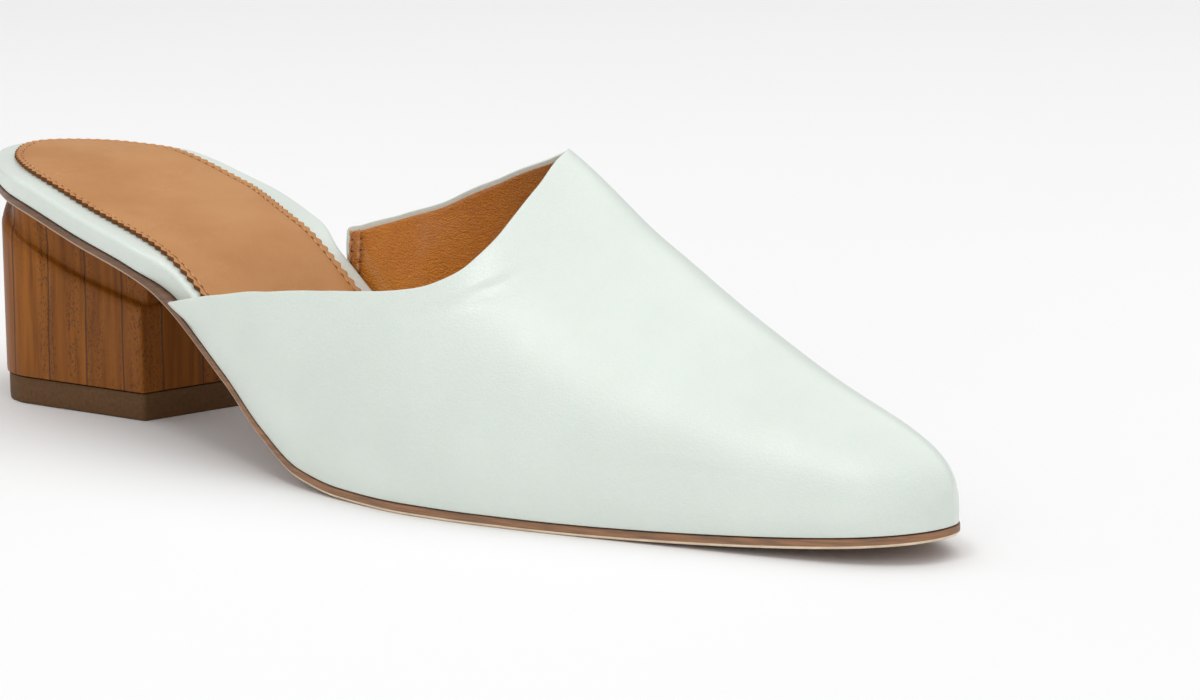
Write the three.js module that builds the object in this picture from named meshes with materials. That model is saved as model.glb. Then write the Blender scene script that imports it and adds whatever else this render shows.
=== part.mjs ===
// Mule shoe for the right foot: a pointed leather vamp on a slim sole with a low wooden block heel.
// X runs from the heel to the toe, Y to the inner side of the foot and Z up from the floor.
import * as THREE from 'three';
import { mergeVertices } from 'three/addons/utils/BufferGeometryUtils.js';

// Driving sizes in millimetres
const shoeLength = 256;
const ballWidth = 72;
const seatWidth = 55;
const toeSwing = 10;
const heelHeight = 45.5;
const toeSpring = 4.2;
const instepHeight = 73;
const outsoleThickness = 1.9;
const outsoleBevel = 0.4;
const upperMargin = 0.3;
const upperWall = 1.8;
const toplineWall = 1.1;
const toeWall = 3;
const footbedMargin = 0.3;
const footbedFlare = 1;
const footbedToeInset = 1.6;
const footbedThickness = 4.9;
const footbedEdgeRadius = 1.1;
const sockMargin = 4.4;
const sockWaistInset = 2.4;
const sockThickness = 0.8;
const sockEdgeRadius = 0.4;
const liftThickness = 6;
const liftMargin = 0.5;
const liftBevel = 0.6;
const heelLength = 64;
const heelBackMargin = 0.8;
const heelWidth = 50.8;
const wedgeBackHeight = 3;
const wedgeBreastHeight = 11.5;
const breastTurn = 9;
const wedgeInset = 2.4;
const ledgeRound = 0.8;
const seatClearance = 0.3;

// The flat tread of the sole, as stations along the shoe
const treadStart = 0.6;
const treadEnd = 0.72;

// How finely the meshes are divided
const outlineSteps = 66;
const roundSteps = 3;
const toplineSteps = 44;
const vampSteps = 32;

// Half breadths of the sole to each side of its middle line, as shares of the width they follow
const outlineRows = [
  { at: 0, width: seatWidth, outer: 0, inner: 0 },
  { at: 0.02, width: seatWidth, outer: 0.2, inner: 0.205 },
  { at: 0.06, width: seatWidth, outer: 0.36, inner: 0.362 },
  { at: 0.12, width: seatWidth, outer: 0.472, inner: 0.462 },
  { at: 0.2, width: seatWidth, outer: 0.512, inner: 0.478 },
  { at: 0.3, width: ballWidth, outer: 0.43, inner: 0.285 },
  { at: 0.4, width: ballWidth, outer: 0.465, inner: 0.25 },
  { at: 0.45, width: ballWidth, outer: 0.494, inner: 0.288 },
  { at: 0.5, width: ballWidth, outer: 0.522, inner: 0.345 },
  { at: 0.55, width: ballWidth, outer: 0.543, inner: 0.4 },
  { at: 0.6, width: ballWidth, outer: 0.549, inner: 0.439 },
  { at: 0.65, width: ballWidth, outer: 0.526, inner: 0.452 },
  { at: 0.7, width: ballWidth, outer: 0.484, inner: 0.441 },
  { at: 0.75, width: ballWidth, outer: 0.433, inner: 0.405 },
  { at: 0.8, width: ballWidth, outer: 0.378, inner: 0.355 },
  { at: 0.85, width: ballWidth, outer: 0.324, inner: 0.299 },
  { at: 0.9, width: ballWidth, outer: 0.27, inner: 0.241 },
  { at: 0.96, width: ballWidth, outer: 0.188, inner: 0.163 },
  { at: 1, width: ballWidth, outer: 0, inner: 0 },
];

// Height of the sole's underside from the heel seat down to the tread, as shares of the heel height
const archRows = [
  { at: 0, rise: 1 },
  { at: 0.1, rise: 0.97 },
  { at: 0.2, rise: 0.85 },
  { at: 0.3, rise: 0.725 },
  { at: 0.4, rise: 0.375 },
  { at: 0.45, rise: 0.175 },
  { at: 0.5, rise: 0.04 },
  { at: 0.55, rise: 0.005 },
  { at: treadStart, rise: 0 },
  { at: 1, rise: 0 },
];

// Sections of the vamp: ridge height above the sole as a share of the instep height, lean of the ridge to
// the inner side as a share of the ball width, and the swell of the sides as a share of the ridge height
const sectionRows = [
  { at: 0.18, ridge: 0.56, lean: 0.02, swell: 0.1 },
  { at: 0.28, ridge: 0.7, lean: 0.04, swell: 0.1 },
  { at: 0.38, ridge: 0.84, lean: 0.1, swell: 0.1 },
  { at: 0.48, ridge: 1, lean: 0.155, swell: 0.1 },
  { at: 0.58, ridge: 0.878, lean: 0.2, swell: 0.1 },
  { at: 0.68, ridge: 0.655, lean: 0.19, swell: 0.1 },
  { at: 0.78, ridge: 0.492, lean: 0.13, swell: 0.1 },
  { at: 0.88, ridge: 0.341, lean: 0.075, swell: 0.1 },
  { at: 0.95, ridge: 0.24, lean: 0.045, swell: 0.1 },
  { at: 0.985, ridge: 0.167, lean: 0.02, swell: 0.08 },
  { at: 1, ridge: 0.067, lean: 0, swell: 0 },
];
const outerShoulder = 0.37;
const innerShoulder = 0.52;
const outerCrown = 0.31;
const innerCrown = 0.53;

// Topline from the outer tail over the instep to the inner tail: place on the section from the outer
// feather edge (-1) over the ridge (0) to the inner feather edge (1), and station along the shoe
const toplineRows = [
  { along: 0, across: -1, at: 0.331 },
  { along: 0.037, across: -0.908, at: 0.359 },
  { along: 0.067, across: -0.838, at: 0.382 },
  { along: 0.1, across: -0.781, at: 0.406 },
  { along: 0.13, across: -0.731, at: 0.429 },
  { along: 0.16, across: -0.6855, at: 0.457 },
  { along: 0.204, across: -0.635, at: 0.49 },
  { along: 0.258, across: -0.591, at: 0.529 },
  { along: 0.306, across: -0.551, at: 0.561 },
  { along: 0.344, across: -0.507, at: 0.585 },
  { along: 0.384, across: -0.439, at: 0.602 },
  { along: 0.434, across: -0.335, at: 0.6085 },
  { along: 0.5, across: -0.194, at: 0.606 },
  { along: 0.548, across: -0.07, at: 0.5985 },
  { along: 0.577, across: 0.05, at: 0.5915 },
  { along: 0.596, across: 0.15, at: 0.583 },
  { along: 0.614, across: 0.22, at: 0.572 },
  { along: 0.643, across: 0.309, at: 0.5535 },
  { along: 0.663, across: 0.366, at: 0.538 },
  { along: 0.696, across: 0.44, at: 0.514 },
  { along: 0.748, across: 0.531, at: 0.4805 },
  { along: 0.795, across: 0.613, at: 0.449 },
  { along: 0.851, across: 0.71, at: 0.407 },
  { along: 0.886, across: 0.77, at: 0.3815 },
  { along: 0.93, across: 0.855, at: 0.3495 },
  { along: 0.957, across: 0.91, at: 0.331 },
  { along: 1, across: 1, at: 0.338 },
];

// Heel block seen from above: half breadths as shares of its width, stations from back to breast
const blockRows = [
  { at: 0, breadth: 0 },
  { at: 0.02, breadth: 0.1 },
  { at: 0.07, breadth: 0.187 },
  { at: 0.14, breadth: 0.268 },
  { at: 0.22, breadth: 0.352 },
  { at: 0.3, breadth: 0.43 },
  { at: 0.37, breadth: 0.48 },
  { at: 0.44, breadth: 0.494 },
  { at: 0.53, breadth: 0.478 },
  { at: 0.75, breadth: 0.425 },
  { at: 1, breadth: 0.365 },
];

// The ledge round the block seen from the side: stations from back to breast, and shares of its whole drop
const ledgeRows = [
  { at: 0, drop: 0 },
  { at: 0.15, drop: 0.03 },
  { at: 0.3, drop: 0.1 },
  { at: 0.38, drop: 0.2 },
  { at: 0.45, drop: 0.34 },
  { at: 0.56, drop: 0.52 },
  { at: 0.67, drop: 0.68 },
  { at: 0.8, drop: 0.82 },
  { at: 1, drop: 1 },
];

// Slopes of a curve that never overshoots the points it runs through
function pointSlopes(run, grade) {
  const last = run.length;
  const endSlope = (near, far, first, second) => {
    const slope = ((2 * near + far) * first - near * second) / (near + far);
    if (slope * first <= 0) return 0;
    return first * second < 0 && Math.abs(slope) > 3 * Math.abs(first) ? 3 * first : slope;
  };
  const slopes = [endSlope(run[0], run[1], grade[0], grade[1])];
  for (let i = 1; i < last; i += 1) {
    const before = 2 * run[i] + run[i - 1];
    const after = run[i] + 2 * run[i - 1];
    const level = grade[i - 1] * grade[i] <= 0;
    slopes.push(level ? 0 : (before + after) / (before / grade[i - 1] + after / grade[i]));
  }
  slopes.push(endSlope(run[last - 1], run[last - 2], grade[last - 1], grade[last - 2]));
  return slopes;
}

// Smooth curve through a column of a table
function curveThrough(places, values) {
  const run = places.slice(1).map((place, i) => place - places[i]);
  const grade = run.map((length, i) => (values[i + 1] - values[i]) / length);
  const slopes = pointSlopes(run, grade);
  return (place) => {
    let i = 0;
    while (i < run.length - 1 && place > places[i + 1]) i += 1;
    const t = THREE.MathUtils.clamp((place - places[i]) / run[i], 0, 1);
    const rise = t * t * (3 - 2 * t);
    const bend = slopes[i] * t * (1 - t) * (1 - t) - slopes[i + 1] * t * t * (1 - t);
    return values[i] + (values[i + 1] - values[i]) * rise + run[i] * bend;
  };
}

// A station is a share of a length, and its turn runs evenly round an outline with round ends
const turnOf = (station) => Math.acos(1 - 2 * station) / Math.PI;
const stationOf = (turn) => (1 - Math.cos(turn * Math.PI)) / 2;

function roundedCurve(rows, value) {
  return curveThrough(rows.map((row) => turnOf(row.at)), rows.map(value));
}

// The sole's outline: breadths by turn, and the middle line that swings to the inner side at the toe
const outerBreadth = roundedCurve(outlineRows, (row) => row.width * row.outer);
const innerBreadth = roundedCurve(outlineRows, (row) => row.width * row.inner);
const middle = (station) => toeSwing * station * station;

function soleEdge(turn, side) {
  const station = stationOf(turn);
  const breadth = side < 0 ? outerBreadth(turn) : innerBreadth(turn);
  return new THREE.Vector2(station * shoeLength, middle(station) + side * breadth);
}

// Underside of the sole: down from the heel seat to a flat tread, then up to the toe
const archRise = curveThrough(archRows.map((row) => row.at), archRows.map((row) => row.rise));

function underside(x) {
  const station = THREE.MathUtils.clamp(x / shoeLength, 0, 1);
  const spring = Math.max(0, station - treadEnd) / (1 - treadEnd);
  return heelHeight * archRise(station) + toeSpring * spring * spring;
}

const soleTop = (x) => underside(x) + outsoleThickness;

// A point of an outline moved inwards, square to the outline
function insetPoint(edge, turn, side, inset) {
  const step = 0.001;
  const ahead = edge(Math.min(turn + step, 1), side);
  const behind = edge(Math.max(turn - step, 0), side);
  const run = turn > 0 ? ahead.sub(behind).normalize() : new THREE.Vector2(0, side);
  return edge(turn, side).add(new THREE.Vector2(run.y, -run.x).multiplyScalar(side * inset));
}

// An outline drawn inwards ends where its two sides have come close together
function lastTurn(edge, inset) {
  const closeness = 1;
  const spread = (turn) => insetPoint(edge, turn, 1, inset).y - insetPoint(edge, turn, -1, inset).y;
  let open = 0.5;
  let shut = 1;
  if (inset <= 0 || spread(shut) > closeness) return 1;
  for (let i = 0; i < 30; i += 1) {
    const half = (open + shut) / 2;
    if (spread(half) > closeness) open = half;
    else shut = half;
  }
  return open;
}

// One loop round a plate, from the heel along the outer side to the toe and back along the inner side
function plateLoop(edge, inset, height) {
  const end = lastTurn(edge, inset(1));
  const line = (side) => {
    const points = [];
    for (let i = 0; i <= outlineSteps; i += 1) {
      const turn = (end * i) / outlineSteps;
      const point = insetPoint(edge, turn, side, inset(stationOf(turn), side));
      points.push(new THREE.Vector3(point.x, point.y, height(point.x)));
    }
    return points;
  };
  return { outer: line(-1), inner: line(1) };
}

// Faces between two lines of points, a and b
function strip(a, b) {
  return a.slice(1).map((point, i) => [a[i], point, b[i + 1], b[i]]);
}

// Closed solid from four-sided faces, with shared corners merged and its outside facing out
function solidFrom(faces) {
  const corners = faces.flatMap(([a, b, c, d]) => [a, b, c, a, c, d]);
  const loose = new THREE.BufferGeometry().setFromPoints(corners);
  const merged = mergeVertices(loose, 0.001);
  const index = merged.index.array;
  const kept = [];
  for (let i = 0; i < index.length; i += 3) {
    const [a, b, c] = [index[i], index[i + 1], index[i + 2]];
    if (a !== b && b !== c && c !== a) kept.push(a, b, c);
  }
  merged.setIndex(kept);
  merged.computeVertexNormals();
  return merged;
}

// Solid between loops stacked from the bottom up
function stack(loops) {
  const faces = [];
  const ring = (loop) => [...loop.outer, ...loop.inner.slice().reverse()];
  for (let i = 1; i < loops.length; i += 1) faces.push(...strip(ring(loops[i - 1]), ring(loops[i])));
  const bottom = loops[0];
  const top = loops[loops.length - 1];
  faces.push(...strip(bottom.inner, bottom.outer), ...strip(top.outer, top.inner));
  return solidFrom(faces);
}

// Insets and heights of the rounded top edge of a plate
function roundedTop(radius, thickness) {
  const levels = [];
  for (let i = 0; i <= roundSteps; i += 1) {
    const angle = (i / roundSteps) * (Math.PI / 2);
    const inset = radius * (1 - Math.cos(angle));
    levels.push({ inset, rise: thickness - radius + radius * Math.sin(angle) });
  }
  return levels;
}

function makeOutsole() {
  const levels = [
    { inset: outsoleBevel, rise: 0 },
    { inset: 0, rise: outsoleBevel },
    { inset: 0, rise: outsoleThickness },
  ];
  const loop = ({ inset, rise }) => plateLoop(soleEdge, () => inset, (x) => underside(x) + rise);
  return stack(levels.map(loop));
}

// Inside the vamp the footbed draws in to clear the wall, and behind it the wrapped edge leans outwards
const insideVamp = upperMargin + upperWall + seatClearance;
const vampTail = { outer: toplineRows[0].at, inner: toplineRows[toplineRows.length - 1].at };
const tailRun = 0.05;
const toeStart = 0.85;
const waist = { start: 0.1, narrowest: 0.36, fading: 0.5, end: 0.9 };

function footbedInset(rise, inset) {
  const lean = footbedFlare * Math.min(1, rise / (footbedThickness - footbedEdgeRadius));
  return (station, side) => {
    const tail = side < 0 ? vampTail.outer : vampTail.inner;
    const within = THREE.MathUtils.smoothstep(station, tail - tailRun, tail);
    const drawnIn = insideVamp + footbedToeInset * THREE.MathUtils.smoothstep(station, toeStart, 1);
    return inset + THREE.MathUtils.lerp(footbedMargin - lean, drawnIn, within);
  };
}

function makeFootbed() {
  const base = (x) => soleTop(x) + seatClearance;
  const levels = [{ inset: 0, rise: 0 }, ...roundedTop(footbedEdgeRadius, footbedThickness)];
  const loop = ({ inset, rise }) => plateLoop(soleEdge, footbedInset(rise, inset), (x) => base(x) + rise);
  return stack(levels.map(loop));
}

// The sock keeps further from the inner edge along the waist
function sockInset(inset) {
  return (station, side) => {
    const narrowed = THREE.MathUtils.smoothstep(station, waist.start, waist.narrowest);
    const widened = THREE.MathUtils.smoothstep(station, waist.fading, waist.end);
    return sockMargin + inset + (side > 0 ? sockWaistInset * narrowed * (1 - widened) : 0);
  };
}

function makeSock() {
  const base = (x) => soleTop(x) + footbedThickness + 2 * seatClearance;
  const levels = [{ inset: 0, rise: 0 }, ...roundedTop(sockEdgeRadius, sockThickness)];
  const loop = ({ inset, rise }) => plateLoop(soleEdge, sockInset(inset), (x) => base(x) + rise);
  return stack(levels.map(loop));
}

// The vamp's outer face at a turn along the shoe and a place across it
const ridgeRise = roundedCurve(sectionRows, (row) => row.ridge * instepHeight);
const ridgeLean = roundedCurve(sectionRows, (row) => row.lean * ballWidth);
const sideSwell = roundedCurve(sectionRows, (row) => row.swell);

function vampFace(turn, across) {
  const side = across < 0 ? -1 : 1;
  const station = stationOf(turn);
  const foot = insetPoint(soleEdge, turn, side, upperMargin);
  const base = soleTop(foot.x) + seatClearance;
  const height = ridgeRise(turn);
  const swell = height * sideSwell(turn);
  const shoulder = side < 0 ? outerShoulder : innerShoulder;
  const crown = side < 0 ? outerCrown : innerCrown;
  const ridge = new THREE.Vector3(station * shoeLength, middle(station) + ridgeLean(turn), 0);
  ridge.z = soleTop(ridge.x) + seatClearance + height;
  const start = new THREE.Vector3(foot.x, foot.y, base);
  const low = new THREE.Vector3(foot.x, foot.y + side * swell, base + shoulder * height);
  const high = new THREE.Vector3(ridge.x, THREE.MathUtils.lerp(ridge.y, foot.y, crown), ridge.z);
  return new THREE.CubicBezierCurve3(start, low, high, ridge).getPoint(1 - Math.abs(across));
}

// Outward normal of the vamp's face
function vampNormal(turn, across) {
  const step = 0.002;
  const along = vampFace(Math.min(turn + step, 1), across).sub(vampFace(turn - step, across));
  const from = THREE.MathUtils.clamp(across - step, -1, 1);
  const to = THREE.MathUtils.clamp(across + step, -1, 1);
  return along.cross(vampFace(turn, to).sub(vampFace(turn, from))).normalize();
}

const toplineTurn = curveThrough(toplineRows.map((row) => row.along), toplineRows.map((row) => turnOf(row.at)));
const toplineAcross = curveThrough(toplineRows.map((row) => row.along), toplineRows.map((row) => row.across));

// Where a column of the vamp's grid lies on its way from the topline to the toe
function vampPlace(column, row, end) {
  const share = row / vampSteps;
  const along = column / toplineSteps;
  const turn = THREE.MathUtils.lerp(toplineTurn(along), end, share);
  const spread = 2 * along - 1;
  const across = THREE.MathUtils.lerp(toplineAcross(along), spread, THREE.MathUtils.smoothstep(share, 0, 1));
  return { turn, across };
}

// The wall is skived thinner towards the topline
const skivedShare = 0.08;

function vampSkin(end, depth) {
  const columns = [];
  for (let column = 0; column <= toplineSteps; column += 1) {
    const points = [];
    for (let row = 0; row <= vampSteps; row += 1) {
      const { turn, across } = vampPlace(column, row, end);
      const full = THREE.MathUtils.smoothstep(row / vampSteps, 0, skivedShare);
      const sunk = depth * THREE.MathUtils.lerp(toplineWall / upperWall, 1, full);
      const point = vampFace(turn, across).addScaledVector(vampNormal(turn, across), -sunk);
      const edge = column === 0 || column === toplineSteps;
      if (edge) point.z = soleTop(point.x) + seatClearance;
      points.push(point);
    }
    columns.push(points);
  }
  return columns;
}

function makeUpper() {
  const outerEnd = lastTurn(soleEdge, upperMargin);
  const innerEnd = lastTurn(soleEdge, upperMargin + toeWall);
  const outside = vampSkin(outerEnd, 0);
  const inside = vampSkin(innerEnd, upperWall);
  const last = toplineSteps;
  const faces = [];
  for (let i = 1; i <= last; i += 1) {
    faces.push(...strip(outside[i - 1], outside[i]), ...strip(inside[i], inside[i - 1]));
  }
  const start = (skin) => skin.map((points) => points[0]);
  faces.push(...strip(start(outside), start(inside)));
  faces.push(...strip(inside[0], outside[0]), ...strip(outside[last], inside[last]));
  const nose = (skin) => skin.map((points) => points[vampSteps]);
  const cap = (points) => strip(points.slice(0, last / 2 + 1), points.slice(last / 2).reverse());
  faces.push(...cap(nose(outside)).map((face) => face.reverse()), ...cap(nose(inside)));
  faces.push([inside[last][vampSteps], outside[last][vampSteps], outside[0][vampSteps], inside[0][vampSteps]]);
  return solidFrom(faces);
}

// The heel block's outline in plan, square sided at the breast
const blockBreadth = curveThrough(blockRows.map((row) => Math.sqrt(row.at)), blockRows.map((row) => row.breadth));

function blockEdge(turn, side) {
  const breadth = heelWidth * blockBreadth(turn);
  const station = turn * turn;
  const skew = station * side * breadth * Math.tan(THREE.MathUtils.degToRad(breastTurn));
  return new THREE.Vector2(heelBackMargin + station * (heelLength - heelBackMargin) + skew, side * breadth);
}

// The ledge round the block falls from the back of the seat towards the breast
const ledgeDrop = curveThrough(ledgeRows.map((row) => row.at), ledgeRows.map((row) => row.drop));

function ledge(x) {
  const back = underside(0) - wedgeBackHeight;
  const breast = underside(heelLength) - wedgeBreastHeight;
  return THREE.MathUtils.lerp(back, breast, ledgeDrop(x / heelLength));
}

function makeHeelBlock() {
  const loop = (inset, height) => plateLoop(blockEdge, () => inset, height);
  return stack([
    loop(0, () => liftThickness + seatClearance),
    loop(0, (x) => ledge(x) - ledgeRound),
    loop(ledgeRound, ledge),
    loop(wedgeInset, ledge),
    loop(wedgeInset, (x) => underside(x) - seatClearance),
  ]);
}

function makeTopLift() {
  const loop = (inset, height) => plateLoop(blockEdge, () => inset, () => height);
  return stack([loop(liftMargin + liftBevel, 0), loop(liftMargin, liftBevel), loop(liftMargin, liftThickness)]);
}

const mintLeather = new THREE.MeshStandardMaterial({ color: 0xdbe6db, roughness: 0.45, metalness: 0 });
const tanLeather = new THREE.MeshStandardMaterial({ color: 0xc4915a, roughness: 0.55, metalness: 0 });
const soleLeather = new THREE.MeshStandardMaterial({ color: 0x966946, roughness: 0.6, metalness: 0 });
const heelWood = new THREE.MeshStandardMaterial({ color: 0x875526, roughness: 0.5, metalness: 0 });
const liftRubber = new THREE.MeshStandardMaterial({ color: 0x5f4628, roughness: 0.7, metalness: 0 });

function piece(name, geometry, material) {
  const mesh = new THREE.Mesh(geometry, material);
  mesh.name = name;
  return mesh;
}

// The shoe stands with the middle of its footprint at the origin
const shoe = new THREE.Group();
shoe.add(
  piece('outsole', makeOutsole(), soleLeather),
  piece('footbed', makeFootbed(), mintLeather),
  piece('sock', makeSock(), tanLeather),
  piece('upper', makeUpper(), mintLeather),
  piece('heel_block', makeHeelBlock(), heelWood),
  piece('top_lift', makeTopLift(), liftRubber),
);
const footprint = new THREE.Box3().setFromObject(shoe);
const centre = footprint.getCenter(new THREE.Vector3());
shoe.position.set(-centre.x, -centre.y, 0);

export default shoe;
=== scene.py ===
"""A pointed leather mule with a wooden block heel, dressed over its packed frame."""
import math
from collections import namedtuple

import bmesh
import bpy
import numpy as np
from bpy.props import FloatProperty, FloatVectorProperty, PointerProperty
from mathutils import Matrix, Vector


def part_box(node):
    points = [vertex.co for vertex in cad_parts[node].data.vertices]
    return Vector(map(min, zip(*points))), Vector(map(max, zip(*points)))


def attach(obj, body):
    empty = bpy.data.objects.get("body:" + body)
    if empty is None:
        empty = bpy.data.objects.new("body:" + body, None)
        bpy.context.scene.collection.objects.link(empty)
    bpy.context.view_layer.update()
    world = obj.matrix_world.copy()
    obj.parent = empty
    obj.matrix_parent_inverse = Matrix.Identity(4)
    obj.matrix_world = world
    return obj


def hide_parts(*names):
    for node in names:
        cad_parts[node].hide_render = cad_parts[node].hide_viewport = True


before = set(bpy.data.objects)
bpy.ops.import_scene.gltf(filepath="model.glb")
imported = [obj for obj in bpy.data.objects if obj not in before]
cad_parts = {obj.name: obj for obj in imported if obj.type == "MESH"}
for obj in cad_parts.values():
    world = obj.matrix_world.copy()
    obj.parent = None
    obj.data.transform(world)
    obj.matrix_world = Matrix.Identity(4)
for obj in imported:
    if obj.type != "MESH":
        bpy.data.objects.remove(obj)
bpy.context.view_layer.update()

bl_info = {
    "name": "Leather Mule",
    "version": (1, 0, 0),
    "blender": (4, 5, 0),
    "location": "View3D > Sidebar > Mule",
    "description": "Builds the leather, wood and stitching of a pointed mule",
    "category": "Add Mesh",
}

MM = 0.001

# Half breadths of the sole to each side of its middle line, as shares of the width they follow
Outline = namedtuple("Outline", "at width outer inner")
OUTLINE_ROWS = [
    Outline(0, "seat", 0, 0),
    Outline(0.02, "seat", 0.2, 0.205),
    Outline(0.06, "seat", 0.36, 0.362),
    Outline(0.12, "seat", 0.472, 0.462),
    Outline(0.2, "seat", 0.512, 0.478),
    Outline(0.3, "ball", 0.43, 0.285),
    Outline(0.4, "ball", 0.465, 0.25),
    Outline(0.45, "ball", 0.494, 0.288),
    Outline(0.5, "ball", 0.522, 0.345),
    Outline(0.55, "ball", 0.543, 0.4),
    Outline(0.6, "ball", 0.549, 0.439),
    Outline(0.65, "ball", 0.526, 0.452),
    Outline(0.7, "ball", 0.484, 0.441),
    Outline(0.75, "ball", 0.433, 0.405),
    Outline(0.8, "ball", 0.378, 0.355),
    Outline(0.85, "ball", 0.324, 0.299),
    Outline(0.9, "ball", 0.27, 0.241),
    Outline(0.96, "ball", 0.188, 0.163),
    Outline(1, "ball", 0, 0),
]

# Height of the sole's underside from the heel seat down to the tread, as shares of the heel height
Arch = namedtuple("Arch", "at rise")
ARCH_ROWS = [
    Arch(0, 1),
    Arch(0.1, 0.97),
    Arch(0.2, 0.85),
    Arch(0.3, 0.725),
    Arch(0.4, 0.375),
    Arch(0.45, 0.175),
    Arch(0.5, 0.04),
    Arch(0.55, 0.005),
    Arch(0.6, 0),
    Arch(1, 0),
]
TREAD_END = 0.72

# Sections of the vamp: ridge height, lean of the ridge to the inner side and swell of the sides
Section = namedtuple("Section", "at ridge lean swell")
SECTION_ROWS = [
    Section(0.18, 0.56, 0.02, 0.1),
    Section(0.28, 0.7, 0.04, 0.1),
    Section(0.38, 0.84, 0.1, 0.1),
    Section(0.48, 1, 0.155, 0.1),
    Section(0.58, 0.878, 0.2, 0.1),
    Section(0.68, 0.655, 0.19, 0.1),
    Section(0.78, 0.492, 0.13, 0.1),
    Section(0.88, 0.341, 0.075, 0.1),
    Section(0.95, 0.24, 0.045, 0.1),
    Section(0.985, 0.167, 0.02, 0.08),
    Section(1, 0.067, 0, 0),
]
OUTER_SHOULDER = 0.37
INNER_SHOULDER = 0.52
OUTER_CROWN = 0.31
INNER_CROWN = 0.53

# Topline from the outer tail (-1) over the ridge (0) to the inner tail (1)
Topline = namedtuple("Topline", "along across at")
TOPLINE_ROWS = [
    Topline(0, -1, 0.331),
    Topline(0.037, -0.908, 0.359),
    Topline(0.067, -0.838, 0.382),
    Topline(0.1, -0.781, 0.406),
    Topline(0.13, -0.731, 0.429),
    Topline(0.16, -0.6855, 0.457),
    Topline(0.204, -0.635, 0.49),
    Topline(0.258, -0.591, 0.529),
    Topline(0.306, -0.551, 0.561),
    Topline(0.344, -0.507, 0.585),
    Topline(0.384, -0.439, 0.602),
    Topline(0.434, -0.335, 0.6085),
    Topline(0.5, -0.194, 0.606),
    Topline(0.548, -0.07, 0.5985),
    Topline(0.577, 0.05, 0.5915),
    Topline(0.596, 0.15, 0.583),
    Topline(0.614, 0.22, 0.572),
    Topline(0.643, 0.309, 0.5535),
    Topline(0.663, 0.366, 0.538),
    Topline(0.696, 0.44, 0.514),
    Topline(0.748, 0.531, 0.4805),
    Topline(0.795, 0.613, 0.449),
    Topline(0.851, 0.71, 0.407),
    Topline(0.886, 0.77, 0.3815),
    Topline(0.93, 0.855, 0.3495),
    Topline(0.957, 0.91, 0.331),
    Topline(1, 1, 0.338),
]

# Heel block seen from above: half breadths as shares of its width, stations from back to breast
Block = namedtuple("Block", "at breadth")
BLOCK_ROWS = [
    Block(0, 0),
    Block(0.02, 0.1),
    Block(0.07, 0.187),
    Block(0.14, 0.268),
    Block(0.22, 0.352),
    Block(0.3, 0.43),
    Block(0.37, 0.48),
    Block(0.44, 0.494),
    Block(0.53, 0.478),
    Block(0.75, 0.425),
    Block(1, 0.365),
]

# The ledge round the block: stations from back to breast, and shares of its whole drop
Ledge = namedtuple("Ledge", "at drop")
LEDGE_ROWS = [
    Ledge(0, 0),
    Ledge(0.15, 0.03),
    Ledge(0.3, 0.1),
    Ledge(0.38, 0.2),
    Ledge(0.45, 0.34),
    Ledge(0.56, 0.52),
    Ledge(0.67, 0.68),
    Ledge(0.8, 0.82),
    Ledge(1, 1),
]

# Creases of the vamp: place on the skin, half length and half width in millimetres, turn and depth
Crease = namedtuple("Crease", "station across length width turn depth")
CREASES = [
    Crease(0.62, -0.47, 5, 0.7, 35, 0.14),
    Crease(0.63, -0.42, 4, 0.6, 50, 0.12),
    Crease(0.612, -0.52, 6, 0.9, 25, 0.12),
    Crease(0.738, -0.73, 4, 0.8, 60, 0.14),
    Crease(0.797, -0.74, 7, 1.2, 15, 0.08),
    Crease(0.83, -0.7, 8, 1.4, 5, 0.08),
    Crease(0.57, -0.62, 16, 5, 65, 0.25),
    Crease(0.63, -0.78, 20, 7, 75, 0.22),
    Crease(0.55, 0.7, 16, 6, -60, 0.22),
]


def screen_to_linear(value):
    return value / 12.92 if value <= 0.04045 else ((value + 0.055) / 1.055) ** 2.4


def length(name, text, default):
    """A size in metres whose default is given in millimetres."""
    return FloatProperty(name=name, description=text, default=default * MM, unit="LENGTH", precision=5)


def angle(name, text, default):
    """An angle whose default is given in degrees."""
    return FloatProperty(name=name, description=text, default=math.radians(default), subtype="ANGLE")


def number(name, text, default):
    return FloatProperty(name=name, description=text, default=default)


def colour(name, text, default):
    """A colour whose default is given as it looks on a screen, from 0 to 255."""
    linear = tuple(screen_to_linear(value / 255) for value in default)
    return FloatVectorProperty(
        name=name, description=text, subtype="COLOR", size=3, min=0, max=1, default=linear
    )


def settings(name, text, *kinds):
    """A group of settings: each kind comes with its rows of description and default."""
    made = {}
    for kind, rows in kinds:
        for key, (about, default) in rows.items():
            made[key] = kind(key.replace("_", " ").capitalize(), about, default)
    return type(name, (bpy.types.PropertyGroup,), {"__doc__": text, "__annotations__": made})


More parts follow.
